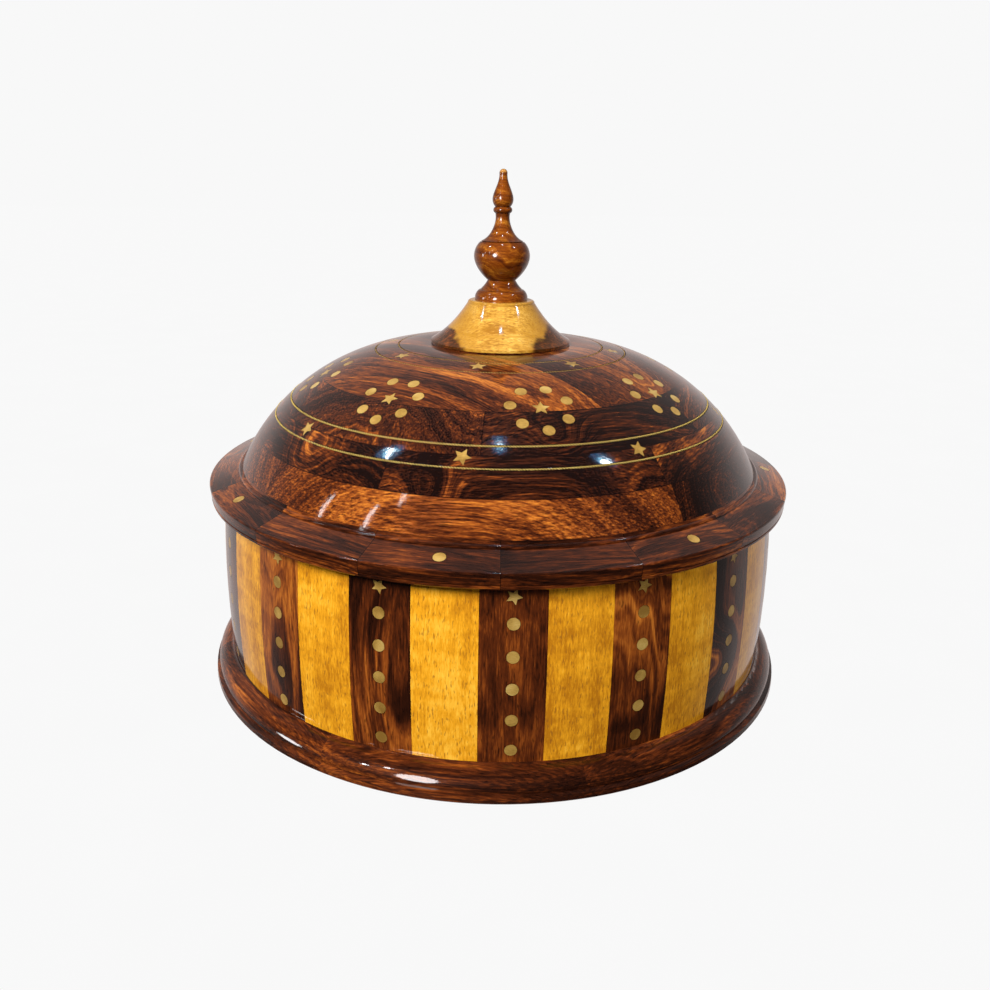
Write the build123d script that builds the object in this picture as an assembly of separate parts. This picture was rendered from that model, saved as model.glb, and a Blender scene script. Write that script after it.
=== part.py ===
from build123d import *
from math import asin, cos, degrees, radians, sin, sqrt
import os

# Round coopered spice box (masala dabba) with a domed, turned lid and seven lift-out cups.
# Millimetres, +Z up. The origin is the centre of the underside; -Y is the front.
# Azimuths are in degrees from the front, positive towards +X.

# ---- driving dimensions -------------------------------------------------
BASE_HEIGHT = 12.4        # base moulding
BASE_R = 130.4            # its lowest, widest edge
STAVE_LENGTH = 69.6
STAVE_COUNT = 32          # light and dark in turn
DRUM_TOP_R = 121.0        # the drum swells a little between its ends
DRUM_BELLY_R = 122.9
DRUM_FOOT_R = 122.1
DRUM_BORE_R = 111.0
RIM_R = 127.0             # lid rim, a 10 inch circle
RIM_EDGE = 6.5            # thickness of the rim at its edge
LID_BOARD = 12.3          # every lid course is one board of this thickness
LID_BOARDS = 5
LID_WALL = 9.0
COURSES = {               # boards glued into the ring of each course, azimuth of one joint
    "dome_course_1": (4, -53.0),
    "dome_course_2": (6, -24.0),
    "dome_course_3": (6, -4.0),
}
PLANKS = 3                # straight planks glued side by side into the crown
PLANK_WIDTH = 60.0
PLANK_TURN = -38.0        # of the planks' length from the +X axis
DOME_R = 89.5             # radius of the arc that makes the dome's side
CUP_R = 32.4
CUP_HEIGHT = 50.0
CUP_WALL = 0.7
RING_CUPS = 6             # stand in a circle about the one in the middle
CUP_RING_R = 69.0
FIRST_DARK_STAVE = 2.8    # azimuth of a dark stave's centre line

# ---- derived heights and radii ------------------------------------------
DRUM_TOP = BASE_HEIGHT + STAVE_LENGTH
RIM_TOP = DRUM_TOP + RIM_EDGE
CROWN = DRUM_TOP + LID_BOARDS * LID_BOARD
DOME_CENTRE_Z = CROWN - DOME_R
CROWN_FLAT_R = 32.8
STAVE_ANGLE = 360 / STAVE_COUNT
JOINTS = [DRUM_TOP + n * LID_BOARD for n in range(LID_BOARDS + 1)]

# ---- lid foot and locating ring -----------------------------------------
DOME_FOOT_Z = RIM_TOP + 4.8
RIM_ROUND = 0.8           # rounding of the rim's upper corner
BEAD_R = 114.8
BEAD_Z = RIM_TOP + 3.5
LID_BORE_R = 105.0
SPIGOT_DEPTH = 8.0
SPIGOT_GAP = 0.4
RIM_SEGMENTS = 16
RIM_JOINT = 0.5           # azimuth of one glue joint

# ---- brass --------------------------------------------------------------
INLAY_DEPTH = 2.0
INLAY_GAP = 0.15          # between an inlay and the side of its pocket
DOT_R = 2.3
STAR_WAIST = 0.47         # inner radius of a star over its outer radius
STAVE_STAR_R = 3.0
STAVE_STAR_TURN = 192.0   # tip down, leaning to the right
STAVE_STAR_DROP = 4.6     # from the top of the stave to the star's centre
STAVE_DOTS = 5
STAVE_DOT_PITCH = 12.5
STAVE_DOT_FIRST = 14.5    # from the top of the stave
LID_STAR_R = 3.5
CLUSTER_STAR_TURN = -6.0
BAND_STAR_TURN = -23.0
CROWN_STAR_TURN = 8.0
CLUSTER_DOTS = 7
CLUSTER_R = 11.3
CLUSTER_TURN = 17.5       # azimuth of a cluster's first dot about its star
WIRE_GAP = 0.08           # a groove's radius less its wire's
WIRE_SINK = 0.2           # how far a wire's centre lies under the wood's surface
RIM_DOT_RING_R = 120.0
CLUSTER_RING_R = 76.4
BAND_STAR_RING_R = 94.8
CROWN_STAR_RING_R = 48.8
WIRE_RINGS = {            # radius of the ring, radius of its wire
    "band_wire_outer": (98.0, 0.45),
    "band_wire_inner": (91.2, 0.45),
    "crown_wire_outer": (54.5, 0.35),
    "crown_wire_inner": (44.5, 0.35),
}
# the lid's eight-fold rings are set out by eye, so they are not quite even
RIM_DOT_AZ = (-58.3, -9.4, 35.9, 85.8, 129.0, 172.0, 215.3, 258.5)
CLUSTER_AZ = (-77.0, -33.1, 11.4, 53.3, 99.0, 145.0, 191.0, 237.0)
BAND_STAR_AZ = (-51.9, -7.9, 32.7, 79.5, 125.0, 170.5, 216.5, 262.5)
CROWN_STAR_AZ = (-55.3, -10.4, 36.0, 80.5, 125.5, 170.0, 214.5, 259.5)

# ---- floor --------------------------------------------------------------
FLOOR_THICK = 6.0
FLOOR_R = 112.0
LEDGE_R = 107.0           # the ring's ledge that the floor board is glued under

# ---- knob ---------------------------------------------------------------
DISC_R = 30.0
DISC_THICK = 1.3
DISC_SEAT = 0.8           # depth of its recess in the crown
CONE_R = 30.3
CONE_LIP = 1.1
CONE_HEIGHT = 18.1
TENON_R = 5.0
TENON_DEPTH = 5.0         # into the crown board
CONE_Z = CROWN - DISC_SEAT + DISC_THICK
FINIAL_Z = CONE_Z + CONE_HEIGHT
FINIAL_HEIGHT = 53.5

SKIN = 3.0                # how far cutting tools stand out past a surface
SPECK = 1.0               # volume below which a cut-off piece is no piece at all


def turned(*edges, arc=360.0):
    """A solid of revolution about +Z from a closed outline in the XZ plane."""
    return revolve(make_face(Curve() + list(edges)), Axis.Z, revolution_arc=arc)


def xz(r, z):
    return (r, 0, z)


def line(*points):
    return Polyline(*[xz(r, z) for r, z in points])


def arc(start, middle, end):
    return ThreePointArc(xz(*start), xz(*middle), xz(*end))


def curve(*points):
    """A smooth turned curve through a few points."""
    return Spline(*[xz(r, z) for r, z in points])


def at_azimuth(azimuth):
    """The turn that carries the +X direction to an azimuth from the front."""
    return Rot(0, 0, azimuth - 90)


def outward(radius, z, azimuth, tilt):
    """A plane of work at a point of a turned surface, its +Z along the surface's normal.

    tilt is the normal's angle from straight up. The plane's +Y runs up the surface and its
    +X towards growing azimuth.
    """
    return at_azimuth(azimuth) * Pos(radius, 0, z) * Rot(0, tilt, 0) * Rot(0, 0, 90)


def dome_tilt(radius):
    """The angle from straight up of the dome's normal at a radius."""
    return degrees(asin((radius - CROWN_FLAT_R) / DOME_R))


def on_dome(azimuth, tilt):
    radius = CROWN_FLAT_R + DOME_R * sin(radians(tilt))
    z = DOME_CENTRE_Z + DOME_R * cos(radians(tilt))
    return outward(radius, z, azimuth, tilt)


def star(radius, turn):
    """The outline of a five-pointed star, its first tip turned anticlockwise from +Y."""
    def outline(gap):
        points = []
        for corner in range(10):
            reach = radius if corner % 2 == 0 else radius * STAR_WAIST
            angle = radians(90 + turn + 36 * corner)
            points.append(((reach + gap) * cos(angle), (reach + gap) * sin(angle)))
        return make_face(Polyline(*points, close=True))

    return outline


def plug(place, shape):
    """A tool to cut an inlay and a slightly wider one to cut its pocket.

    shape is a function that draws the inlay's outline grown by a gap. Both tools reach down
    to the inlay's depth and stand past the surface.
    """
    sunk = place * Pos(0, 0, -INLAY_DEPTH)
    height = INLAY_DEPTH + SKIN
    return sunk * extrude(shape(0), height), sunk * extrude(shape(INLAY_GAP), height)


def dot(gap):
    return Circle(DOT_R + gap).face()


def inlay(blank, plugs):
    """Cut pockets in a blank and return it with the pieces that lie in them."""
    pieces = [solid for tool, pocket in plugs for solid in (blank & tool).solids()]
    return blank - [pocket for tool, pocket in plugs], pieces


def whole(shape):
    """The solids of a cut shape, without the specks a cut leaves along an edge."""
    return [solid for solid in shape.solids() if solid.volume > SPECK]


def wedge(start, end, low, high):
    """A sector of a tall round block between two azimuths and two heights."""
    reach = 2 * BASE_R
    sweep = end - start
    outline = line((0, low), (reach, low), (reach, high), (0, high), (0, low))
    return Rot(0, 0, start - 90) * turned(outline, arc=sweep)


def segments(ring, count, joint, low, high):
    """Split a ring between two heights into glued segments, one joint at an azimuth."""
    sweep = 360 / count
    pieces = []
    for n in range(count):
        part = ring & wedge(joint + n * sweep, joint + (n + 1) * sweep, low, high)
        pieces.extend(whole(part))
    return pieces


# ---- box ----------------------------------------------------------------
def floor_board():
    return [Cylinder(FLOOR_R, FLOOR_THICK, align=(Align.CENTER, Align.CENTER, Align.MIN))]


def base_ring():
    """The moulding: a square foot, a fine groove, a round bead and a small fillet."""
    foot = 2.8
    groove_r = BASE_R - 1.7
    groove_z = 3.5
    bead_top = (124.4, 11.3)
    ring = turned(
        line(
            (FLOOR_R, FLOOR_THICK),
            (FLOOR_R, 0),
            (BASE_R - 0.6, 0),
            (BASE_R, 0.6),
            (BASE_R - 0.2, foot),
            (groove_r, groove_z),
        ),
        arc((groove_r, groove_z), (BASE_R - 1.9, 7.6), bead_top),
        arc(bead_top, (123.3, 11.6), (DRUM_FOOT_R + 0.3, BASE_HEIGHT)),
        line(
            (DRUM_FOOT_R + 0.3, BASE_HEIGHT),
            (LEDGE_R, BASE_HEIGHT),
            (LEDGE_R, FLOOR_THICK),
            (FLOOR_R, FLOOR_THICK),
        ),
    )
    return [ring]


def stave():
    """One stave with its middle at the front, cut from the swelling drum."""
    low = (DRUM_FOOT_R, BASE_HEIGHT)
    high = (DRUM_TOP_R, DRUM_TOP)
    middle = (DRUM_BELLY_R, BASE_HEIGHT + STAVE_LENGTH / 2)
    drum = turned(
        arc(low, middle, high),
        line(high, (DRUM_BORE_R, DRUM_TOP), (DRUM_BORE_R, BASE_HEIGHT), low),
        arc=STAVE_ANGLE,
    )
    return at_azimuth(-STAVE_ANGLE / 2) * drum


def around(pieces, first):
    """Copies of pieces that stand at the front, one set for every second stave."""
    return [
        Rot(0, 0, first + 2 * STAVE_ANGLE * n) * piece
        for n in range(STAVE_COUNT // 2)
        for piece in pieces
    ]


def dark_stave():
    """A dark stave at the front with its pockets, its star and its dots."""
    face_r = DRUM_BELLY_R - 0.5  # about the mean radius of the stave's swelling face

    def mark(drop, shape):
        return plug(outward(face_r, DRUM_TOP - drop, 0, 90), shape)

    drops = [STAVE_DOT_FIRST + n * STAVE_DOT_PITCH for n in range(STAVE_DOTS)]
    wood, stars = inlay(stave(), [mark(STAVE_STAR_DROP, star(STAVE_STAR_R, STAVE_STAR_TURN))])
    wood, rods = inlay(wood, [mark(drop, dot) for drop in drops])
    return wood.solids(), stars, rods


# ---- lid ----------------------------------------------------------------
def lid_shell():
    """The whole turned lid before it is divided into the boards it was glued from."""
    wall_r = DOME_R - LID_WALL
    foot_r = CROWN_FLAT_R + sqrt(DOME_R**2 - (DOME_FOOT_Z - DOME_CENTRE_Z) ** 2)
    bore_z = DOME_CENTRE_Z + sqrt(wall_r**2 - (LID_BORE_R - CROWN_FLAT_R) ** 2)
    slant = radians(45)
    round_in = (RIM_R - RIM_ROUND, RIM_TOP)
    round_out = (RIM_R, RIM_TOP - RIM_ROUND)
    round_r = RIM_ROUND * (1 - sin(slant))

    def side(radius):
        return (CROWN_FLAT_R + radius * sin(slant), DOME_CENTRE_Z + radius * cos(slant))

    return turned(
        line(
            (0, CROWN - LID_WALL),
            (0, CROWN),
            (CROWN_FLAT_R, CROWN),
        ),
        arc((CROWN_FLAT_R, CROWN), side(DOME_R), (foot_r, DOME_FOOT_Z)),
        arc((foot_r, DOME_FOOT_Z), (BEAD_R - 0.2, DOME_FOOT_Z - 0.4), (BEAD_R, BEAD_Z)),
        line((BEAD_R, BEAD_Z), round_in),
        arc(round_in, (RIM_R - round_r, RIM_TOP - round_r), round_out),
        line(
            round_out,
            (RIM_R - 0.4, DRUM_TOP + 1.9),
            (RIM_R - 0.9, DRUM_TOP + 1.6),
            (RIM_R - 0.4, DRUM_TOP + 1.3),
            (RIM_R - 0.5, DRUM_TOP + 0.5),
            (RIM_R - 1.0, DRUM_TOP),
            (LID_BORE_R, DRUM_TOP),
            (LID_BORE_R, bore_z),
        ),
        arc((LID_BORE_R, bore_z), side(wall_r), (CROWN_FLAT_R, CROWN - LID_WALL)),
        line((CROWN_FLAT_R, CROWN - LID_WALL), (0, CROWN - LID_WALL)),
    )


def dome_ring(ring_r, depth, section_r):
    """A ring of round section that follows the dome, its centre at a depth in the wood."""
    tilt = radians(dome_tilt(ring_r))
    radius = ring_r - depth * sin(tilt)
    height = DOME_CENTRE_Z + (DOME_R - depth) * cos(tilt)
    return Pos(0, 0, height) * Torus(radius, section_r)


def wire(ring_r, wire_r):
    """A ring of wire lying in the dome, a little proud of the wood."""
    return dome_ring(ring_r, WIRE_SINK, wire_r)


def groove(ring_r, wire_r):
    """The groove the wire lies in: a little wider, touching it at the bottom only."""
    return dome_ring(ring_r, WIRE_SINK - WIRE_GAP, wire_r + WIRE_GAP)


def rim_dots():
    rise = BEAD_Z - RIM_TOP
    run = RIM_R - RIM_ROUND - BEAD_R
    tilt = degrees(asin(rise / sqrt(rise**2 + run**2)))
    z = RIM_TOP + rise * (RIM_R - RIM_ROUND - RIM_DOT_RING_R) / run
    return [plug(outward(RIM_DOT_RING_R, z, azimuth, tilt), dot) for azimuth in RIM_DOT_AZ]


def cluster_dots():
    plugs = []
    for azimuth in CLUSTER_AZ:
        for n in range(CLUSTER_DOTS):
            angle = radians(CLUSTER_TURN + n * 360 / CLUSTER_DOTS)
            along = CLUSTER_R * cos(angle)
            up = CLUSTER_R * sin(angle)
            tilt = dome_tilt(CLUSTER_RING_R) - degrees(up / DOME_R)
            radius = CROWN_FLAT_R + DOME_R * sin(radians(tilt))
            plugs.append(plug(on_dome(azimuth + degrees(along / radius), tilt), dot))
    return plugs


def star_ring(azimuths, ring_r, turn):
    tilt = dome_tilt(ring_r)
    return [plug(on_dome(azimuth, tilt), star(LID_STAR_R, turn)) for azimuth in azimuths]


def lid_inlays():
    """The plugs of every inlaid node of the lid."""
    return {
        "rim_dots": rim_dots(),
        "cluster_dots": cluster_dots(),
        "cluster_stars": star_ring(CLUSTER_AZ, CLUSTER_RING_R, CLUSTER_STAR_TURN),
        "band_stars": star_ring(BAND_STAR_AZ, BAND_STAR_RING_R, BAND_STAR_TURN),
        "crown_stars": star_ring(CROWN_STAR_AZ, CROWN_STAR_RING_R, CROWN_STAR_TURN),
    }


def planks(board):
    """Split the crown board into straight planks lying side by side."""
    pieces = []
    for n in range(PLANKS):
        middle = (n - (PLANKS - 1) / 2) * PLANK_WIDTH
        plank = Pos(0, middle, CROWN) * Box(4 * BASE_R, PLANK_WIDTH, 4 * LID_BOARD)
        pieces.extend(whole(board & (Rot(0, 0, PLANK_TURN) * plank)))
    return pieces


def lid_wood():
    """The lid's boards with every pocket cut, and the brass that fills them."""
    shell = lid_shell()
    seat = Pos(0, 0, CROWN) * Cylinder(DISC_R, 2 * DISC_SEAT)
    tenon_hole = Pos(0, 0, CROWN) * Cylinder(TENON_R, 2 * TENON_DEPTH)
    shell = shell - [seat, tenon_hole]
    nodes = {}
    for name, plugs in lid_inlays().items():
        shell, nodes[name] = inlay(shell, plugs)
    for name, (ring_r, wire_r) in WIRE_RINGS.items():
        nodes[name] = [wire(ring_r, wire_r)]
        shell = shell - groove(ring_r, wire_r)
    nodes["lid_rim"] = segments(shell, RIM_SEGMENTS, RIM_JOINT, JOINTS[0], JOINTS[1])
    for level, (name, (boards, joint)) in enumerate(COURSES.items(), start=1):
        nodes[name] = segments(shell, boards, joint, JOINTS[level], JOINTS[level + 1])
    crown = shell & wedge(0, 360, JOINTS[-2], JOINTS[-1])
    nodes["dome_crown"] = planks(crown)
    return nodes


def lid_spigot():
    """The ring of glued segments under the rim that drops into the drum's mouth."""
    outer = DRUM_BORE_R - SPIGOT_GAP
    low = DRUM_TOP - SPIGOT_DEPTH
    ring = turned(
        line(
            (LID_BORE_R, low),
            (outer - 1.0, low),
            (outer, low + 1.0),
            (outer, DRUM_TOP),
            (LID_BORE_R, DRUM_TOP),
            (LID_BORE_R, low),
        )
    )
    return segments(ring, RIM_SEGMENTS, RIM_JOINT + 180 / RIM_SEGMENTS, low, DRUM_TOP)


# ---- knob ---------------------------------------------------------------
def knob_disc():
    ring = Cylinder(DISC_R, DISC_THICK) - Cylinder(TENON_R, DISC_THICK)
    return [Pos(0, 0, CONE_Z - DISC_THICK / 2) * ring]


def knob_cone():
    """The flared block that the finial stands on."""
    top = CONE_Z + CONE_HEIGHT
    lip = CONE_Z + CONE_LIP
    shoulder = (14.5, top - 1.2)
    cone = turned(
        line((TENON_R, top), (TENON_R, CONE_Z), (CONE_R, CONE_Z), (CONE_R, lip)),
        curve((CONE_R, lip), (23.5, CONE_Z + 6.0), (18.8, CONE_Z + 11.0), shoulder),
        arc(shoulder, (14.1, top - 0.3), (13.3, top)),
        line((13.3, top), (TENON_R, top)),
    )
    return [cone]


def finial():
    """The turned spindle: foot, neck, ball, waist, ring, bulb and tip, on its long tenon."""
    z = FINIAL_Z
    foot_r = 11.4
    step = (9.7, z + 4.2)
    neck = (6.0, z + 8.3)
    ball = (11.95, z + 18.8)
    incised = (8.9, z + 24.6)
    waist = (2.95, z + 34.6)
    ring_low = (3.1, z + 35.8)
    ring_high = (3.2, z + 38.4)
    bulb = (4.4, z + 41.6)
    tip_r = 1.7
    tip_z = z + FINIAL_HEIGHT - tip_r
    tenon_end = CROWN - TENON_DEPTH
    spindle = turned(
        line(
            (0, z + FINIAL_HEIGHT),
            (0, tenon_end),
            (TENON_R, tenon_end),
            (TENON_R, z),
            (foot_r, z),
            (foot_r, z + 1.0),
        ),
        arc((foot_r, z + 1.0), (10.9, z + 2.8), step),
        line(step, (9.1, z + 4.4)),
        curve((9.1, z + 4.4), (7.3, z + 6.3), neck),
        curve(neck, (9.2, z + 11.6), ball, (10.9, z + 22.3), (9.4, z + 24.2)),
        line((9.4, z + 24.2), (8.6, z + 24.4), incised),
        curve(incised, (6.5, z + 26.1), (3.6, z + 30.8), waist, ring_low),
        arc(ring_low, (4.0, z + 37.0), ring_high),
        curve(ring_high, bulb, (3.5, z + 44.9), (2.0, z + 48.9), (tip_r, tip_z)),
        arc(
            (tip_r, tip_z),
            (tip_r * sqrt(0.5), tip_z + tip_r * sqrt(0.5)),
            (0, z + FINIAL_HEIGHT),
        ),
    )
    return [spindle]


# ---- cups ---------------------------------------------------------------
def cup():
    """A thin steel cup with a rounded foot and a rolled rim, standing on z = 0."""
    corner = 5.0
    roll = 0.9
    inner = CUP_R - CUP_WALL
    top = CUP_HEIGHT - 2 * roll
    diagonal = sqrt(0.5)
    outer_bend = (CUP_R - corner * (1 - diagonal), corner * (1 - diagonal))
    bend = corner - CUP_WALL
    inner_bend = (inner - bend * (1 - diagonal), CUP_WALL + bend * (1 - diagonal))
    body = turned(
        line((0, CUP_WALL), (0, 0), (CUP_R - corner, 0)),
        arc((CUP_R - corner, 0), outer_bend, (CUP_R, corner)),
        line((CUP_R, corner), (CUP_R, top)),
        arc((CUP_R, top), (CUP_R + roll * 0.6, top + roll), (inner + 0.1, CUP_HEIGHT)),
        line((inner + 0.1, CUP_HEIGHT), (inner, CUP_HEIGHT - 0.2), (inner, corner)),
        arc((inner, corner), inner_bend, (inner - bend, CUP_WALL)),
        line((inner - bend, CUP_WALL), (0, CUP_WALL)),
    )
    return body


def cups():
    """One node for each cup, because each lifts out by itself."""
    stand = Pos(0, 0, FLOOR_THICK)
    nodes = {"cup_centre": [stand * cup()]}
    for n in range(RING_CUPS):
        turn = Rot(0, 0, n * 360 / RING_CUPS)
        nodes[f"cup_{n + 1}"] = [turn * stand * Pos(0, -CUP_RING_R, 0) * cup()]
    return nodes


# ---- assembly -----------------------------------------------------------
def all_nodes():
    dark, stars, rods = dark_stave()
    nodes = {
        "floor_board": floor_board(),
        "base_ring": base_ring(),
        "light_staves": around([stave()], FIRST_DARK_STAVE + STAVE_ANGLE),
        "dark_staves": around(dark, FIRST_DARK_STAVE),
        "stave_stars": around(stars, FIRST_DARK_STAVE),
        "stave_dots": around(rods, FIRST_DARK_STAVE),
        "lid_spigot": lid_spigot(),
        "knob_disc": knob_disc(),
        "knob_cone": knob_cone(),
        "knob_finial": finial(),
    }
    nodes.update(lid_wood())
    nodes.update(cups())
    return nodes


os.makedirs("parts", exist_ok=True)
for node, pieces in all_nodes().items():
    group = pieces[0] if len(pieces) == 1 else Compound(children=list(pieces))
    group.label = node
    export_step(group, f"parts/{node}.step")
    print(node, len(pieces), round(sum(piece.volume for piece in pieces)))
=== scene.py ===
"""Looks for the coopered spice box: its woods, brass and steel, the twisted wires, lights, camera.

Lengths in this file are millimetres until they reach Blender, which works in metres.
Azimuths are in degrees from the front, positive towards +X.
"""
from math import asin, ceil, cos, pi, radians, sin, sqrt, tau

import bpy
from mathutils import Matrix, Vector

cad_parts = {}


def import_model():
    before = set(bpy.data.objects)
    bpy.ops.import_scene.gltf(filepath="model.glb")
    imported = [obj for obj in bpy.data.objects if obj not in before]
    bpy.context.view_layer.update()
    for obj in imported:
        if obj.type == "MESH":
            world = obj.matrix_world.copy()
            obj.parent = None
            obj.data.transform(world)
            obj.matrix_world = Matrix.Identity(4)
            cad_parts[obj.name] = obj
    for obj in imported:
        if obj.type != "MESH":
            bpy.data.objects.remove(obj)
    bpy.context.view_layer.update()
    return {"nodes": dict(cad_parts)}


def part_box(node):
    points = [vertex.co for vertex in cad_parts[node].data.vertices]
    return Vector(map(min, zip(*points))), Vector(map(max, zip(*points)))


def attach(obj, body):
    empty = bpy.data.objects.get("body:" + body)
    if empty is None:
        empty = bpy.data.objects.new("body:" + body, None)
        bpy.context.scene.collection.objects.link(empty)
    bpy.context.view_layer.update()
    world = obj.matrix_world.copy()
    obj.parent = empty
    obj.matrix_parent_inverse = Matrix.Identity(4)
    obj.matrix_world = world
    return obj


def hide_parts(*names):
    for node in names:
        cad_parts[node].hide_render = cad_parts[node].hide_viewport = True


MM = 0.001

# ---- the object, as the CAD has it --------------------------------------
DARK_STAVES = 16          # and as many light ones between them
DARK_STAVE_AZ = 2.8       # azimuth of one dark stave's middle
DRUM_R = 122.0            # of the staves' outer faces
STAVE_R = 120.0           # about the middle of their thickness
RIM_SEGMENTS = 16
RIM_JOINT_AZ = 0.5
COURSES = {               # segments in each course of the dome, azimuth of one joint
    "dome_course_1": (4, -53.0),
    "dome_course_2": (6, -24.0),
    "dome_course_3": (6, -4.0),
}
PLANK_WIDTH = 60.0        # of the crown's straight planks
PLANK_TURN = -38.0        # of their length from the +X axis
RIM_R = 118.0             # about the middle of the lid rim's section: radius
RIM_Z = 85.0              # and height
DOME_MIDDLE = 100.0       # about the middle of the dome's side: both radius and height
DOME_R = 89.5             # radius of the arc that makes the dome's side
CROWN_FLAT_R = 32.8       # radius of the flat top that the arc starts from
BASE_R = 125.0            # about the middle of the base moulding's section
BEAD_CENTRE = (122.7, 5.3)   # radius and height of the centre of the base bead's section
BEAD_R = 6.3
WIRE_NODES = ("band_wire_outer", "band_wire_inner", "crown_wire_outer", "crown_wire_inner")

# ---- twisted wires ------------------------------------------------------
BAND_STRAND_R = 0.20
CROWN_STRAND_R = 0.13
STRAND_SIDES = 6
TWIST_STATIONS = 8        # sections of a strand in one turn about the other
TWIST_PITCH = 2.2         # length in which one strand goes once round the other
TWIST_R = 0.95            # of a strand's middle from the wire's, over the strand's radius
OUTWARD = "outward"       # mesh attribute: how far a point faces away from the other strand

# ---- camera -------------------------------------------------------------
CAMERA_AT = Vector((-1.2, -407.5, 211.0))
CAMERA_PITCH = 18.76      # degrees down
CAMERA_ROLL = 1.0
CAMERA_LENS = 33.7


def scaled_box(node):
    """A CAD node's lowest and highest corners in millimetres."""
    low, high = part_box(node)
    return low / MM, high / MM


# ---- node building ------------------------------------------------------
class Shader:
    """One material. Methods take sockets or plain values and return sockets; lengths are in mm."""

    def __init__(self, name):
        self.material = bpy.data.materials.new(name)
        self.material.use_nodes = True
        self.tree = self.material.node_tree
        self.tree.nodes.clear()
        place = self.node("ShaderNodeTexCoord").outputs["Object"]
        self.place = self.vector("SCALE", place, scale=1 / MM)
        self.x, self.y, self.z = self.split(self.place)

    def node(self, kind, *values, **settings):
        """A new node with its first inputs fed in order and its settings set."""
        node = self.tree.nodes.new(kind)
        for name, value in settings.items():
            setattr(node, name, value)
        for socket, value in zip(node.inputs, values):
            self.feed(socket, value)
        return node

    def feed(self, socket, value):
        if isinstance(value, bpy.types.NodeSocket):
            self.tree.links.new(value, socket)
        elif value is not None:
            socket.default_value = value

    def maths(self, operation, *values):
        return self.node("ShaderNodeMath", *values, operation=operation).outputs[0]

    def add(self, *values):
        total = values[0]
        for value in values[1:]:
            total = self.maths("ADD", total, value)
        return total

    def times(self, *values):
        product = values[0]
        for value in values[1:]:
            product = self.maths("MULTIPLY", product, value)
        return product

    def minus(self, a, b):
        return self.maths("SUBTRACT", a, b)

    def vector(self, operation, *values, scale=None):
        node = self.node("ShaderNodeVectorMath", *values, operation=operation)
        if scale is not None:
            self.feed(node.inputs["Scale"], scale)
        return node.outputs["Value" if operation == "DISTANCE" else "Vector"]

    def split(self, vector):
        return self.node("ShaderNodeSeparateXYZ", vector).outputs

    def join(self, x, y, z):
        return self.node("ShaderNodeCombineXYZ", x, y, z).outputs[0]

    def step(self, value, low, high):
        """0 below low, 1 above high, smooth between."""
        node = self.node("ShaderNodeMapRange", interpolation_type="SMOOTHSTEP")
        for socket, given in zip(node.inputs, (value, low, high, 0.0, 1.0)):
            self.feed(socket, given)
        return node.outputs["Result"]

    def noise(self, vector, scale=1.0, detail=2.0, roughness=0.5, distortion=0.0):
        node = self.node("ShaderNodeTexNoise")
        given = {
            "Vector": vector,
            "Scale": scale,
            "Detail": detail,
            "Roughness": roughness,
            "Distortion": distortion,
        }
        for name, value in given.items():
            self.feed(node.inputs[name], value)
        return node.outputs["Fac"]

    def random(self, value):
        """A number from 0 to 1 that is fixed for each whole value."""
        node = self.node("ShaderNodeTexWhiteNoise", None, value, noise_dimensions="1D")
        return node.outputs["Value"]

    def ramp(self, factor, *stops):
        """A colour ramp through (place, colour) stops."""
        node = self.node("ShaderNodeValToRGB", factor)
        marks = node.color_ramp.elements
        while len(marks) < len(stops):
            marks.new(0.5)
        for mark, (place, colour) in zip(marks, stops):
            mark.position = place
            mark.color = (*colour, 1.0)
        return node.outputs["Color"]

    def mix(self, factor, a, b, blend="MIX"):
        node = self.node("ShaderNodeMix", data_type="RGBA", blend_type=blend)
        for name, value in (("Factor_Float", factor), ("A_Color", a), ("B_Color", b)):
            socket = next(one for one in node.inputs if one.identifier == name)
            self.feed(socket, (*value, 1.0) if isinstance(value, tuple) else value)
        return next(one for one in node.outputs if one.identifier == "Result_Color")

    def bump(self, height, depth, normal=None):
        """A normal for a height from 0 to 1 that stands for a depth in mm."""
        node = self.node("ShaderNodeBump")
        given = {"Strength": 1.0, "Distance": depth * MM, "Height": height, "Normal": normal}
        for name, value in given.items():
            self.feed(node.inputs[name], value)
        return node.outputs["Normal"]

    def finish(self, colour, **inputs):
        """Close the material with a Principled surface; inputs are its sockets by name."""
        surface = self.node("ShaderNodeBsdfPrincipled")
        self.feed(surface.inputs["Base Color"], colour)
        for name, value in inputs.items():
            socket = name.replace("_", " ").title().replace("Ior", "IOR")
            self.feed(surface.inputs[socket], value)
        output = self.node("ShaderNodeOutputMaterial")
        self.tree.links.new(surface.outputs[0], output.inputs["Surface"])
        return self.material


# ---- wood ---------------------------------------------------------------
BLACK = (0.006, 0.0017, 0.0010)
UMBER = (0.027, 0.0060, 0.0020)
CHESTNUT = (0.088, 0.0180, 0.0038)
RUSSET = (0.240, 0.057, 0.0080)
AMBER = (0.520, 0.165, 0.0200)
GLUE_WIDTH = 0.22
# how much lighter or darker than the rest some boards are, by their numbers
STAVE_SHIFTS = {0: -0.06, 1: 0.08}
RIM_SHIFTS = {0: -0.06, 1: 0.02, 13: -0.04, 14: -0.09, 15: -0.04}
BASE_SHIFTS = {0: -0.20, 1: -0.12, 7: -0.03}


def lacquer(shader, colour, fibre):
    """The deep clear gloss over every piece of wood, with a fine orange peel."""
    ripple = shader.noise(shader.place, scale=0.045, detail=1.0)
    peel = shader.noise(shader.place, scale=0.9, detail=2.0)
    grain = shader.bump(fibre, 0.03)
    coat = shader.bump(peel, 0.012, shader.bump(ripple, 0.10))
    return shader.finish(
        colour,
        roughness=0.5,
        specular_ior_level=0.1,
        normal=grain,
        coat_weight=1.0,
        coat_roughness=0.06,
        coat_normal=coat,
    )


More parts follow.
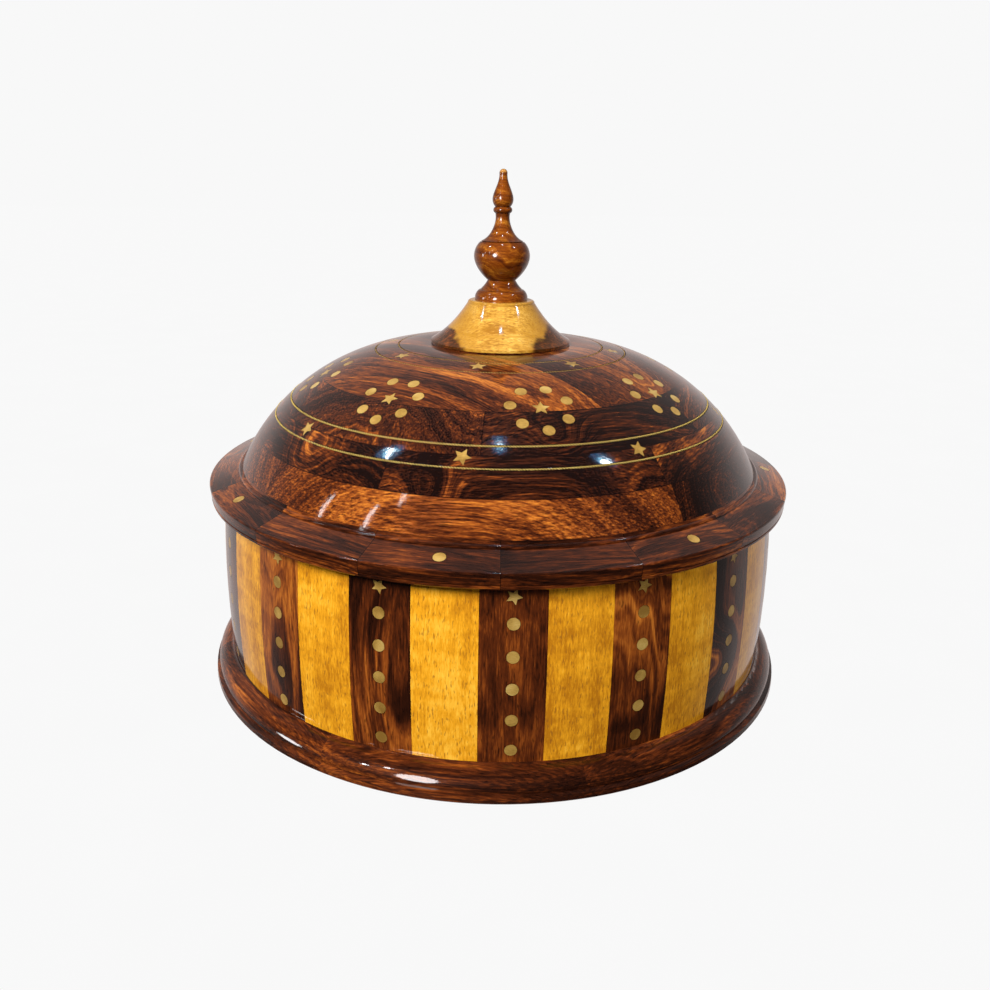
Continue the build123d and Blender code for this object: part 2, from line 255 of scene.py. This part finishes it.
def ring_boards(shader, count, joint):
    """Coordinates in each of the boards set round the axis, with a joint at an azimuth.

    Returns the tangential distance from the board's middle, the distance out from the axis, the
    height, the board's number counted from the joint, and the distance from its nearest joint.
    """
    azimuth = shader.maths("ARCTAN2", shader.x, shader.times(shader.y, -1))
    turn = shader.times(shader.minus(azimuth, radians(joint)), count / tau)
    number = shader.maths("FLOOR", turn)
    middle = shader.add(shader.times(shader.add(number, 0.5), tau / count), radians(joint))
    turned = shader.node("ShaderNodeVectorRotate", shader.place, rotation_type="Z_AXIS")
    shader.feed(turned.inputs["Angle"], shader.times(middle, -1))
    along, inward, up = shader.split(turned.outputs[0])
    off_middle = shader.maths("ABSOLUTE", shader.minus(shader.maths("FRACT", turn), 0.5))
    edge = shader.minus(0.5, off_middle)
    out = shader.times(inward, -1)
    seam = shader.times(edge, shader.times(out, tau / count))
    return along, out, up, shader.maths("FLOORED_MODULO", number, count), seam


def single_boards(shader, number, values):
    """A value for some of the boards by their numbers, 0 for the rest."""
    total = 0.0
    for board, value in values.items():
        total = shader.add(total, shader.times(shader.maths("COMPARE", number, board, 0.1), value))
    return total


def growth(shader, along, across, deep, seed, pith, warp):
    """Distance from the tree's pith at a place in a board, warped as real rings are.

    pith is the width, across, of the strip in which the pith may lie, and its place on the deep
    axis. Also returns a shift that keeps the noise of different boards apart.
    """
    lot = shader.times(seed, 371.0)
    flow = shader.join(shader.times(along, 0.16), across, shader.add(deep, lot))
    wander = shader.minus(shader.noise(flow, scale=0.045, detail=2.5), 0.5)
    off_across = shader.minus(across, shader.times(shader.minus(seed, 0.5), pith[0]))
    off_deep = shader.minus(deep, pith[1])
    radius = shader.maths("SQRT", shader.add(shader.times(off_across, off_across),
                                             shader.times(off_deep, off_deep)))
    return shader.add(radius, shader.times(wander, 4 * warp)), lot


def streaks(shader, along, across, deep, slow, quick, detail=1.0):
    """Noise drawn out along the grain: slow and quick are its pitches along and across, per mm."""
    place = shader.join(
        shader.times(along, slow),
        shader.times(across, quick),
        shader.times(deep, quick),
    )
    return shader.noise(place, detail=detail, roughness=0.65)


def rosewood(shader, along, across, deep, seed, pith, light, warp=7.0, contrast=1.0,
             extra=0.0, tones=0.0, fine=1.0, plume=0.0):
    """Dark rosewood: black and umber rings in chestnut and amber, fine fibres and open pores.

    light is the general tone and tones a change to it. contrast is the rings' strength, fine
    that of the fibres, plume that of broad golden flames. extra pushes the rings outward.
    """
    radius, lot = growth(shader, along, across, deep, seed, pith, warp)
    radius = shader.add(radius, extra)
    slow = shader.times(along, 0.008)
    broad = shader.noise(shader.join(shader.times(radius, 0.075), slow, lot), detail=3.0)
    rings = shader.noise(shader.join(shader.times(radius, 0.42), slow, lot), detail=3.0, roughness=0.6)
    line_at = shader.join(shader.times(radius, 1.5), shader.times(along, 0.035), lot)
    lines = shader.noise(line_at, detail=2.0)
    fibre = streaks(shader, along, across, deep, 0.055, 1.25, detail=3.0)
    fleck = streaks(shader, along, across, deep, 0.24, 1.7, detail=2.0)
    pores = shader.step(streaks(shader, along, across, deep, 0.20, 1.5), 0.60, 0.72)
    apart = shader.add(lot, 9.0)
    flame_at = shader.join(shader.times(along, 0.018), shader.times(radius, 0.05), apart)
    flame = shader.step(shader.noise(flame_at, detail=2.0, distortion=0.8), 0.54, 0.66)
    tone = shader.add(
        light,
        shader.times(shader.minus(broad, 0.5), 1.7 * contrast),
        shader.times(shader.minus(rings, 0.5), 1.2 * contrast),
        shader.times(shader.minus(lines, 0.5), 0.7 * contrast),
        shader.times(shader.minus(fibre, 0.5), 1.1 * fine),
        shader.times(shader.minus(fleck, 0.5), 0.7 * fine),
        shader.times(shader.minus(seed, 0.5), 0.22),
        shader.times(flame, plume),
        tones,
    )
    colour = shader.ramp(
        tone, (0.02, BLACK), (0.29, UMBER), (0.48, CHESTNUT), (0.68, RUSSET), (0.94, AMBER)
    )
    colour = shader.mix(shader.times(pores, 0.65), colour, BLACK)
    return colour, fibre


def glue_line(shader, colour, distance):
    """A thin dark line where two boards meet."""
    line = shader.minus(1.0, shader.step(distance, 0.4 * GLUE_WIDTH, GLUE_WIDTH))
    return shader.mix(shader.times(line, 0.8), colour, BLACK)


def knots(shader, places):
    """How far knots push the rings aside; each is a point, its spread and its strength."""
    push = 0.0
    for point, spread, strength in places:
        away = shader.vector("DISTANCE", shader.place, Vector(point))
        fall = shader.maths("EXPONENT", shader.times(shader.times(away, away), -1 / spread**2))
        push = shader.add(push, shader.times(fall, strength))
    return push


def dark_stave_wood():
    """The dark staves, one with a knot; the joints of these boards fall behind the light staves."""
    shader = Shader("rosewood_staves")
    first_joint = DARK_STAVE_AZ - 180 / DARK_STAVES
    side, out, up, number, _ = ring_boards(shader, DARK_STAVES, first_joint)
    seed = shader.random(number)
    pushed = knots(shader, [(drum_point(45.0, 36.0), 13.0, 11.0)])
    colour, fibre = rosewood(shader, up, side, shader.minus(out, STAVE_R), seed, pith=(30.0, 70.0),
                             warp=2.5, light=0.26, contrast=1.25, fine=0.55, extra=pushed,
                             tones=single_boards(shader, number, STAVE_SHIFTS))
    return lacquer(shader, colour, fibre)


def rim_wood():
    """The lid rim's short boards."""
    shader = Shader("rosewood_rim")
    along, out, up, number, seam = ring_boards(shader, RIM_SEGMENTS, RIM_JOINT_AZ)
    seed = shader.random(shader.add(number, 40.0))
    shift = single_boards(shader, number, RIM_SHIFTS)
    colour, fibre = rosewood(shader, along, shader.minus(out, RIM_R), shader.minus(up, RIM_Z), seed,
                             pith=(60.0, -40.0), warp=9.0, light=0.49, contrast=0.9, fine=0.7,
                             tones=shift)
    return lacquer(shader, glue_line(shader, colour, seam), fibre)


def course_wood(name, light, pith, seed_shift, swirls, contrast, tones, warp=7.0, upright=(),
                plume=0.0):
    """One course of the dome.

    seed_shift picks the boards' figures. swirls are (azimuth, height, spread, strength); tones
    lighten or darken single boards by their numbers, and the boards listed as upright have
    their grain running up the dome.
    """
    count, joint = COURSES[name]
    shader = Shader("rosewood_" + name)
    along, out, up, number, seam = ring_boards(shader, count, joint)
    seed = shader.random(shader.add(number, seed_shift))
    shift = single_boards(shader, number, tones)
    stand = single_boards(shader, number, {board: 1.0 for board in upright})
    pushed = knots(shader, [(dome_point(azimuth, height), spread, strength)
                            for azimuth, height, spread, strength in swirls])
    across = shader.minus(up, DOME_MIDDLE)
    long_way = shader.add(along, shader.times(stand, shader.minus(across, along)))
    cross_way = shader.add(across, shader.times(stand, shader.minus(along, across)))
    colour, fibre = rosewood(shader, long_way, cross_way, shader.minus(out, DOME_MIDDLE), seed,
                             pith=pith, light=light, warp=warp, contrast=contrast, extra=pushed,
                             tones=shift, plume=plume)
    low, high = scaled_box(name)
    level = shader.maths("MINIMUM", shader.minus(up, low.z), shader.minus(high.z, up))
    colour = glue_line(shader, colour, shader.maths("MINIMUM", seam, level))
    return lacquer(shader, colour, fibre)


def crown_wood():
    """The crown's straight planks, side by side."""
    shader = Shader("rosewood_crown")
    turned = shader.node("ShaderNodeVectorRotate", shader.place, rotation_type="Z_AXIS")
    shader.feed(turned.inputs["Angle"], radians(-PLANK_TURN))
    along, across, up = shader.split(turned.outputs[0])
    strip = shader.add(shader.times(across, 1 / PLANK_WIDTH), 0.5)
    seed = shader.random(shader.add(shader.maths("FLOOR", strip), 7.0))
    colour, fibre = rosewood(shader, along, across, up, seed, pith=(70.0, 160.0), warp=9.0,
                             light=0.43, contrast=0.8, plume=0.10, fine=0.8)
    off_middle = shader.maths("ABSOLUTE", shader.minus(shader.maths("FRACT", strip), 0.5))
    edge = shader.times(shader.minus(0.5, off_middle), PLANK_WIDTH)
    return lacquer(shader, glue_line(shader, colour, edge), fibre)


def turned_wood(name, lot, light, pith, contrast):
    """Rosewood turned from one block whose grain lies along +X; lot picks the block's figure."""
    shader = Shader(name)
    seed = shader.random(lot)
    colour, fibre = rosewood(shader, shader.x, shader.y, shader.z, seed, pith, light, 6.0, contrast)
    return lacquer(shader, colour, fibre)


BASE_BOARDS = 8
BASE_JOINT_AZ = 15.0


def base_wood():
    """The base moulding, with the figure of a ring glued up from short boards."""
    shader = Shader("rosewood_base")
    along, out, up, number, _ = ring_boards(shader, BASE_BOARDS, BASE_JOINT_AZ)
    seed = shader.random(shader.add(number, 90.0))
    colour, fibre = rosewood(shader, along, shader.minus(out, BASE_R), up, seed,
                             pith=(40.0, -145.0), warp=4.0, light=0.46, contrast=0.8, fine=0.7,
                             tones=single_boards(shader, number, BASE_SHIFTS))
    return lacquer(shader, colour, fibre)


# pale woods, from dark to light
STAVE_TONES = ((0.44, 0.160, 0.006), (0.75, 0.325, 0.012), (0.92, 0.50, 0.050))
CONE_TONES = ((0.34, 0.14, 0.012), (0.68, 0.37, 0.060), (0.88, 0.63, 0.200))
TICK = (0.24, 0.085, 0.012)        # short dark flecks along the grain
CONE_BAND = (0.42, 0.20, 0.018)    # level bands up the cone
CONE_FLANK = (0.38, 0.17, 0.012)   # its left and right sides
CONE_CURL = (0.30, 0.13, 0.02)     # broad dark streaks


def pale(shader, along, across, deep, seed, tones):
    """Pale hardwood: soft bands, ribbon figure across the grain and short dark pore ticks."""
    lot = shader.times(seed, 213.0)
    flow = shader.join(
        shader.times(along, 0.02),
        shader.add(shader.times(across, 0.16), lot),
        shader.times(deep, 0.16),
    )
    band = shader.noise(flow, detail=3.0, roughness=0.6)
    ribbon_at = shader.join(
        shader.add(shader.times(along, 0.16), lot),
        shader.times(across, 0.05),
        lot,
    )
    ribbon = shader.noise(ribbon_at, detail=3.0, roughness=0.55)
    fibre = streaks(shader, along, across, deep, 0.30, 1.5, detail=3.0)
    ticks = shader.step(streaks(shader, along, across, deep, 0.35, 1.6), 0.59, 0.72)
    tone = shader.add(
        0.47,
        shader.times(shader.minus(band, 0.5), 1.1),
        shader.times(shader.minus(ribbon, 0.5), 0.8),
        shader.times(shader.minus(fibre, 0.5), 1.1),
        shader.times(shader.minus(seed, 0.5), 0.30),
    )
    colour = shader.ramp(tone, *zip((0.1, 0.5, 0.9), tones))
    colour = shader.mix(shader.times(ticks, 0.70), colour, TICK)
    return colour, fibre


def light_stave_wood():
    """The light staves, each in the middle of a board that starts at a dark stave's middle."""
    shader = Shader("pale_staves")
    side, out, up, number, _ = ring_boards(shader, DARK_STAVES, DARK_STAVE_AZ)
    seed = shader.random(shader.add(number, 20.0))
    colour, fibre = pale(shader, up, side, out, seed, STAVE_TONES)
    return lacquer(shader, colour, fibre)


def cone_wood():
    """Pale wood with ochre flanks and a dark heart that shows as patches low on the flare."""
    shader = Shader("pale_cone")
    colour, fibre = pale(shader, shader.x, shader.y, shader.z, 0.35, CONE_TONES)
    low = scaled_box("knob_cone")[0].z
    sway = shader.times(shader.noise(shader.place, scale=0.06), 5.0)
    level = shader.add(shader.z, sway, -low)
    band = shader.noise(shader.join(0.0, 0.0, level), scale=0.42, detail=2.0)
    colour = shader.mix(shader.times(shader.step(band, 0.50, 0.62), 0.55), colour, CONE_BAND)
    flank = shader.step(shader.maths("ABSOLUTE", shader.add(shader.x, sway, -2.5)), 4.0, 15.0)
    colour = shader.mix(shader.times(flank, 0.75), colour, CONE_FLANK)
    curl = streaks(shader, shader.x, shader.y, shader.z, 0.5, 1.5)
    colour = shader.mix(shader.times(shader.step(curl, 0.55, 0.68), 0.6), colour, CONE_CURL)
    heart = cone_heart(shader, low, fibre)
    dark, _ = rosewood(shader, shader.x, shader.y, shader.z, 0.6, pith=(20.0, low - 30.0),
                       light=0.36, contrast=0.5)
    colour = shader.mix(shader.times(heart, 0.95), colour, dark)
    return lacquer(shader, colour, fibre)


def cone_heart(shader, low, fibre):
    """1 in the dark heart of the cone's block: beyond a ragged edge that leans out upward."""
    warp_at = shader.vector("MULTIPLY", shader.place, (0.05, 0.09, 0.09))
    warp = shader.times(shader.minus(shader.noise(warp_at, detail=3.0), 0.5), 14.0)
    off_middle = shader.maths("ABSOLUTE", shader.add(shader.x, 1.5))
    climb = shader.times(shader.minus(shader.z, low), -0.9)
    reach = shader.add(off_middle, warp, climb)
    return shader.step(shader.add(reach, shader.times(fibre, 3.0)), 14.0, 17.0)


def finial_wood():
    """Red-brown wood turned across the grain, so its rings show as level bands; its edges as seen from
    the camera are darkened with painted shade.
    """
    shader = Shader("finial_wood")
    wander = shader.times(shader.noise(shader.place, scale=0.07, detail=2.0), 14.0)
    level = shader.add(shader.z, shader.times(shader.x, 0.25), wander)
    band = shader.noise(shader.join(0.0, 0.0, level), scale=0.33, detail=3.0, roughness=0.6)
    fibre = streaks(shader, shader.x, shader.y, shader.z, 0.2, 1.4, detail=3.0)
    tone = shader.add(
        0.46,
        shader.times(shader.minus(band, 0.5), 1.7),
        shader.times(shader.minus(fibre, 0.5), 0.8),
    )
    colour = shader.ramp(tone, (0.1, (0.060, 0.009, 0.001)), (0.5, (0.22, 0.050, 0.0025)),
                         (0.9, (0.60, 0.22, 0.018)))
    top = scaled_box("knob_finial")[1].z
    tip = shader.step(shader.z, top - 1.8, top - 0.9)
    colour = shader.mix(shader.times(tip, 0.8), colour, (0.62, 0.30, 0.07))
    # painted shade: the surface darkens where it turns away from the view, towards the edges
    painted_edge_shade = shader.node("ShaderNodeLayerWeight", 0.35).outputs["Facing"]
    colour = shader.mix(painted_edge_shade, colour, (0.10, 0.06, 0.05), "MULTIPLY")
    return lacquer(shader, colour, fibre)


# ---- metal --------------------------------------------------------------
PAINTED_CREVICE_SHADE = (0.10, 0.045, 0.008)   # painted shade, in the crevice where the two strands of a wire meet


def brass(name, shade=0.0, strand=None):
    """Brass under lacquer. shade dulls it; strand is the tone of a twisted wire's open sides, and the
    sides where the strands meet get painted shade.
    """
    shader = Shader(name)
    scratch_at = shader.vector("MULTIPLY", shader.place, (0.8, 5.0, 5.0))
    scratch = shader.noise(scratch_at, detail=3.0, roughness=0.6)
    stain = shader.noise(shader.place, scale=0.25, detail=3.0)
    piece = shader.times(shader.minus(shader.noise(shader.place, scale=0.08), 0.5), 0.9)
    tone = shader.add(shader.times(scratch, 0.5), shader.times(stain, 0.5), piece, -shade)
    colour = shader.ramp(
        tone, (0.25, (0.30, 0.16, 0.03)), (0.5, (0.56, 0.34, 0.08)), (0.75, (0.74, 0.52, 0.17))
    )
    if strand:
        # painted shade: the strands' sides that face each other are darkened, as if shaded in the
        # crevice between them
        facing = shader.node("ShaderNodeAttribute", attribute_name=OUTWARD).outputs["Fac"]
        clear_of_painted_shade = shader.step(facing, -0.4, 0.6)
        colour = shader.mix(clear_of_painted_shade, PAINTED_CREVICE_SHADE, shader.mix(0.3, strand, colour))
    rough = shader.add(0.35, shader.times(scratch, 0.15))
    return shader.finish(colour, metallic=0.35, roughness=rough, normal=shader.bump(scratch, 0.01),
                         coat_weight=0.6, coat_roughness=0.05)


def steel():
    """Spun stainless steel: fine rings round the cup and a few faint smears."""
    shader = Shader("spun_steel")
    rings = shader.noise(shader.join(0.0, 0.0, shader.z), scale=3.0, detail=3.0)
    smear = shader.noise(shader.place, scale=0.05, detail=3.0)
    colour = shader.ramp(rings, (0.3, (0.55, 0.55, 0.56)), (0.7, (0.70, 0.70, 0.72)))
    rough = shader.add(0.24, shader.times(smear, 0.16))
    return shader.finish(colour, metallic=1.0, roughness=rough, normal=shader.bump(rings, 0.01))


# ---- places on the surface ----------------------------------------------
def drum_point(azimuth, height):
    """The point of the drum's side at an azimuth and a height above the floor."""
    return DRUM_R * sin(radians(azimuth)), -DRUM_R * cos(radians(azimuth)), height


def dome_centre_z():
    """Height of the centre of the arc that makes the dome's side."""
    return scaled_box("dome_crown")[1].z - DOME_R


def dome_point(azimuth, height):
    """The point of the dome's side at an azimuth and a height above the floor."""
    rise = (height - dome_centre_z()) / DOME_R
    radius = CROWN_FLAT_R + DOME_R * sqrt(1 - rise**2)
    return radius * sin(radians(azimuth)), -radius * cos(radians(azimuth)), height


def dome_normal(azimuth, height):
    """The way the dome's side faces at an azimuth and a height above the floor."""
    rise = (height - dome_centre_z()) / DOME_R
    run = sqrt(1 - rise**2)
    return Vector((run * sin(radians(azimuth)), -run * cos(radians(azimuth)), rise))


# ---- the wires' own meshes ----------------------------------------------
def twisted_wire(node):
    """Two strands wound round each other, in place of the plain ring the CAD has."""
    low, high = scaled_box(node)
    middle_z = (low.z + high.z) / 2
    ring_r = (high.x - low.x) / 2 - (high.z - low.z) / 2
    tilt = asin((ring_r - CROWN_FLAT_R) / DOME_R)
    strand_r = BAND_STRAND_R if node.startswith("band") else CROWN_STRAND_R
    twists = ceil(tau * ring_r / TWIST_PITCH)
    stations = TWIST_STATIONS * twists
    verts, faces, outward = [], [], []
    for strand in range(2):
        first = len(verts)
        for n in range(stations):
            azimuth = tau * n / stations
            radial = Vector((sin(azimuth), -cos(azimuth), 0))
            normal = radial * sin(tilt) + Vector((0, 0, cos(tilt)))
            slope = radial * cos(tilt) - Vector((0, 0, sin(tilt)))
            spin = tau * twists * n / stations + pi * strand
            centre = radial * ring_r + Vector((0, 0, middle_z))
            centre += (normal * cos(spin) + slope * sin(spin)) * strand_r * TWIST_R
            for side in range(STRAND_SIDES):
                around = tau * side / STRAND_SIDES
                verts.append((centre + (normal * cos(around) + slope * sin(around)) * strand_r) * MM)
                outward.append(cos(around - spin))
        for n in range(stations):
            here = first + n * STRAND_SIDES
            there = first + (n + 1) % stations * STRAND_SIDES
            for side in range(STRAND_SIDES):
                after = (side + 1) % STRAND_SIDES
                faces.append((here + side, there + side, there + after, here + after))
    mesh = bpy.data.meshes.new(node + "_twist")
    mesh.from_pydata(verts, [], faces)
    mesh.polygons.foreach_set("use_smooth", [True] * len(faces))
    mesh.attributes.new(OUTWARD, "FLOAT", "POINT").data.foreach_set("value", outward)
    wire = bpy.data.objects.new(node + "_twist", mesh)
    bpy.context.scene.collection.objects.link(wire)
    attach(wire, "lid")
    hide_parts(node)
    return wire


# ---- surroundings -------------------------------------------------------
BACKDROP = (0.939, 0.939, 0.939)
FLOOR_HALF = 6000.0
FLOOR_DROP = 0.6          # keeps the floor just clear of the object's underside
GLINT_DISTANCE = 900.0    # of a small mirrored lamp from the place it is mirrored at
ROOM_COLOUR = (1.0, 0.87, 0.84)
ROOM_FRONT = 0.02         # strength of the room's light from the camera's side
ROOM_BACK = 0.64          # and from behind the object
ROOM_ABOVE = 0.45         # the share of that which is left high up


def floor():
    """A plain pale floor that runs out of sight and leaves the object's own light alone.

    Seen from underneath it is clear, so that it never hides the object.
    """
    half = FLOOR_HALF * MM
    drop = FLOOR_DROP * MM
    corners = [(-half, -half, -drop), (half, -half, -drop), (half, half, -drop), (-half, half, -drop)]
    mesh = bpy.data.meshes.new("floor")
    mesh.from_pydata(corners, [], [(0, 1, 2, 3)])
    plane = bpy.data.objects.new("floor", mesh)
    bpy.context.scene.collection.objects.link(plane)
    shader = Shader("pale_floor")
    speckle = shader.noise(shader.place, scale=0.02, detail=3.0)
    colour = shader.ramp(speckle, (0.3, BACKDROP), (0.7, (0.945, 0.945, 0.945)))
    solid = shader.minus(1.0, shader.node("ShaderNodeNewGeometry").outputs["Backfacing"])
    mesh.materials.append(shader.finish((0, 0, 0, 1), roughness=1.0, specular_ior_level=0.0,
                                        emission_color=colour, emission_strength=1.0, alpha=solid))
    plane.visible_diffuse = False
    plane.visible_glossy = False


def world():
    """White to the camera; to the object, a room that is dim in front and bright behind."""
    sky = bpy.data.worlds.new("studio")
    bpy.context.scene.world = sky
    sky.use_nodes = True
    tree = sky.node_tree
    tree.nodes.clear()

    def node(kind, **inputs):
        made = tree.nodes.new("ShaderNode" + kind)
        for name, value in inputs.items():
            made.inputs[name.replace("_", " ")].default_value = value
        return made

    def dimmer(axis, low, high, dark, bright):
        """Brightness that changes along one axis of the direction looked in."""
        slope = node("MapRange", From_Min=low, From_Max=high, To_Min=dark, To_Max=bright)
        slope.interpolation_type = "SMOOTHSTEP"
        tree.links.new(split.outputs[axis], slope.inputs["Value"])
        return slope.outputs[0]

    coords = node("TexCoord")
    split = node("SeparateXYZ")
    strength = node("Math")
    strength.operation = "MULTIPLY"
    path = node("LightPath")
    seen = node("Background", Color=(*BACKDROP, 1))
    room = node("Background", Color=(*ROOM_COLOUR, 1))
    mix = node("MixShader")
    out = node("OutputWorld")
    tree.links.new(coords.outputs["Generated"], split.inputs[0])
    tree.links.new(dimmer("Y", -0.15, 0.85, ROOM_FRONT, ROOM_BACK), strength.inputs[0])
    tree.links.new(dimmer("Z", 0.0, 0.45, 1.0, ROOM_ABOVE), strength.inputs[1])
    tree.links.new(strength.outputs[0], room.inputs["Strength"])
    tree.links.new(path.outputs["Is Camera Ray"], mix.inputs[0])
    tree.links.new(room.outputs[0], mix.inputs[1])
    tree.links.new(seen.outputs[0], mix.inputs[2])
    tree.links.new(mix.outputs[0], out.inputs[0])


def lamp(name, place, aim, size, power, colour=(1, 1, 1)):
    """A rectangular lamp at a place in mm, facing another place."""
    data = bpy.data.lights.new(name, "AREA")
    data.shape = "RECTANGLE"
    data.size, data.size_y = size[0] * MM, size[1] * MM
    data.energy = power
    data.color = colour
    light = bpy.data.objects.new(name, data)
    light.location = Vector(place) * MM
    light.rotation_euler = (Vector(aim) - Vector(place)).to_track_quat("-Z", "Y").to_euler()
    bpy.context.scene.collection.objects.link(light)
    return light


def soft_box(name, place, size, power, colour=(1, 1, 1)):
    """Broad light on the object that isn't mirrored in its gloss."""
    lamp(name, place, (0, 0, 90), size, power, colour).visible_glossy = False


def aim_at(light, lit_objects):
    """Let a lamp light these objects and no others."""
    lit = bpy.data.collections.new("lit_by_" + light.name)
    for thing in lit_objects:
        lit.objects.link(thing)
    light.light_linking.receiver_collection = lit


def glint(name, lit_objects, point, normal, size, power, colour=(1, 1, 1)):
    """A round lamp seen only mirrored, at one point of these objects' surface."""
    sight = (point - CAMERA_AT).normalized()
    mirrored = sight - 2 * sight.dot(normal) * normal
    light = lamp(name, point + mirrored * GLINT_DISTANCE, point, size, power, colour)
    light.data.shape = "ELLIPSE"
    light.visible_diffuse = False
    aim_at(light, lit_objects)


def direction(azimuth, slope):
    """A unit vector at an azimuth, sloping above level."""
    level = cos(radians(slope))
    return Vector((level * sin(radians(azimuth)), -level * cos(radians(azimuth)), sin(radians(slope))))


def dome_glint(name, lid, azimuth, height, size, power, colour=(1, 1, 1)):
    """A lamp mirrored in the dome's side."""
    point = Vector(dome_point(azimuth, height))
    glint(name, lid, point, dome_normal(azimuth, height), size, power, colour)


def bead_glint(name, ring, azimuth, slope, size, power):
    """A mirrored lamp on the base ring's bead; slope is the normal's angle above level."""
    radius, height = BEAD_CENTRE
    normal = direction(azimuth, slope)
    point = direction(azimuth, 0) * radius + Vector((0, 0, height)) + normal * BEAD_R
    glint(name, [ring], point, normal, size, power)


def ball_glint(name, finial, height, radius, azimuth, slope, size, power):
    """A mirrored lamp on one of the finial's swellings."""
    point = direction(azimuth, 0) * radius + Vector((0, 0, height))
    glint(name, [finial], point, direction(azimuth, slope), size, power)


def lights(nodes):
    """Three soft boxes, panels for the cups, and the photo's reflections as mirrored lamps."""
    soft_box("key", (-600, -900, 900), (500, 500), 29.0)
    soft_box("fill", (800, -700, 500), (700, 500), 5.0)
    soft_box("top", (0, -100, 1500), (800, 800), 8.0)
    lid = [node for name, node in nodes.items() if name.startswith(("dome_", "lid_rim", "knob_"))]
    spots = (("left", -24.2, 117.9), ("middle", 0.0, 122.2), ("right", 23.2, 116.2))
    for name, azimuth, height in spots:
        dome_glint("spot_" + name, lid, azimuth, height, (26, 60), 0.45)
        dome_glint("halo_" + name, lid, azimuth, height, (52, 110), 0.22, (0.25, 0.70, 1.0))
        dome_glint("glow_" + name, lid, azimuth, height, (90, 180), 0.12, (0.12, 0.45, 1.0))
    dome_glint("tube_far_left", lid, -34.6, 98.6, (20, 210), 0.16)
    dome_glint("tube_left", lid, -24.2, 98.0, (20, 230), 0.20)
    dome_glint("tube_middle", lid, -18.2, 104.4, (22, 100), 0.07)
    cups = [node for name, node in nodes.items() if name.startswith("cup_")]
    aim_at(lamp("cup_panel_left", (-900, -500, 900), (0, 0, 60), (500, 900), 22.0), cups)
    aim_at(lamp("cup_panel_right", (800, 100, 1100), (0, 0, 60), (300, 900), 10.0), cups)
    aim_at(lamp("cup_panel_back", (0, 1100, 700), (0, 0, 60), (900, 300), 12.0), cups)
    ring = nodes["base_ring"]
    bead_glint("window_middle", ring, -12.5, 18.0, (260, 620), 7.0)
    bead_glint("window_left", ring, -37.5, 14.0, (190, 240), 1.6)
    bead_glint("dot_left", ring, -21.5, 30.0, (26, 120), 0.4)
    bead_glint("dot_middle", ring, -17.5, 36.0, (30, 120), 0.4)
    finial = nodes["knob_finial"]
    top = scaled_box("knob_finial")[1].z
    ball_z = top - 33.6
    bulb_z = top - 11.6
    ball_glint("sparkle_ball", finial, ball_z, 12.0, -15.0, 8.0, (220, 260), 2.0)
    ball_glint("sparkle_left", finial, ball_z, 12.0, -42.0, 6.0, (140, 200), 0.8)
    ball_glint("sparkle_bulb", finial, bulb_z, 4.4, -14.0, 6.0, (260, 420), 4.0)


def camera():
    """The camera that sees the object as the photo does."""
    data = bpy.data.cameras.new("camera")
    data.sensor_width = 36.0
    data.lens = CAMERA_LENS
    data.clip_start = 0.01
    eye = bpy.data.objects.new("camera", data)
    tilt = Matrix.Rotation(radians(90 - CAMERA_PITCH), 4, "X")
    roll = Matrix.Rotation(radians(CAMERA_ROLL), 4, "Z")
    eye.matrix_world = Matrix.Translation(CAMERA_AT * MM) @ tilt @ roll
    bpy.context.scene.collection.objects.link(eye)
    bpy.context.scene.camera = eye


# ---- the scene ----------------------------------------------------------
def paint(nodes, name, material):
    """Give one node its material, in place of the one it came with."""
    mesh = nodes[name].data
    mesh.materials.clear()
    mesh.materials.append(material)


def dress(nodes):
    """Give every node its material and wind the twisted wires."""
    woods = {
        "dark_staves": dark_stave_wood(),
        "light_staves": light_stave_wood(),
        "base_ring": base_wood(),
        "lid_rim": rim_wood(),
        "dome_course_1": course_wood(
            "dome_course_1", 0.46, (30.0, -260.0), 3.0, swirls=((52.0, 100.0, 15.0, 26.0),),
            contrast=0.65, warp=1.0, tones={1: -0.22, 3: -0.16}),
        "dome_course_2": course_wood(
            "dome_course_2", 0.16, (30.0, 40.0), 11.0, plume=0.30, contrast=0.85,
            tones={1: 0.09, 5: 0.14},
            swirls=((-46.0, 112.0, 15.0, 30.0), (-14.0, 108.0, 9.0, 20.0), (24.0, 104.0, 12.0, 16.0))),
        "dome_course_3": course_wood(
            "dome_course_3", 0.26, (20.0, 50.0), 17.0, swirls=((14.0, 124.0, 10.0, 20.0),),
            tones={0: -0.24, 4: 0.15, 5: 0.14}, upright=(5,), plume=0.18, contrast=0.85),
        "dome_crown": crown_wood(),
        "lid_spigot": turned_wood("rosewood_spigot", 15.0, 0.45, (30.0, 40.0), 1.0),
        "knob_disc": turned_wood("rosewood_disc", 13.0, 0.25, (40.0, 90.0), 0.5),
        "floor_board": turned_wood("rosewood_floor", 14.0, 0.6, (30.0, -40.0), 0.6),
        "knob_cone": cone_wood(),
        "knob_finial": finial_wood(),
    }
    for name, material in woods.items():
        paint(nodes, name, material)
    lid_brass = brass("brass_lid")
    for name in ("rim_dots", "cluster_dots", "cluster_stars", "band_stars", "crown_stars"):
        paint(nodes, name, lid_brass)
    drum_brass = brass("brass_drum", shade=0.10)
    for name in ("stave_stars", "stave_dots"):
        paint(nodes, name, drum_brass)
    cup = steel()
    for name in nodes:
        if name.startswith("cup_"):
            paint(nodes, name, cup)
    wires = {
        "band": brass("brass_band_wire", strand=(1.0, 0.74, 0.20)),
        "crown": brass("brass_crown_wire", strand=(0.50, 0.32, 0.10)),
    }
    for name in WIRE_NODES:
        twisted_wire(name).data.materials.append(wires[name.split("_")[0]])


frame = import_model()
dress(frame["nodes"])
floor()
world()
lights(frame["nodes"])
camera()
bpy.context.scene.view_settings.view_transform = "Standard"
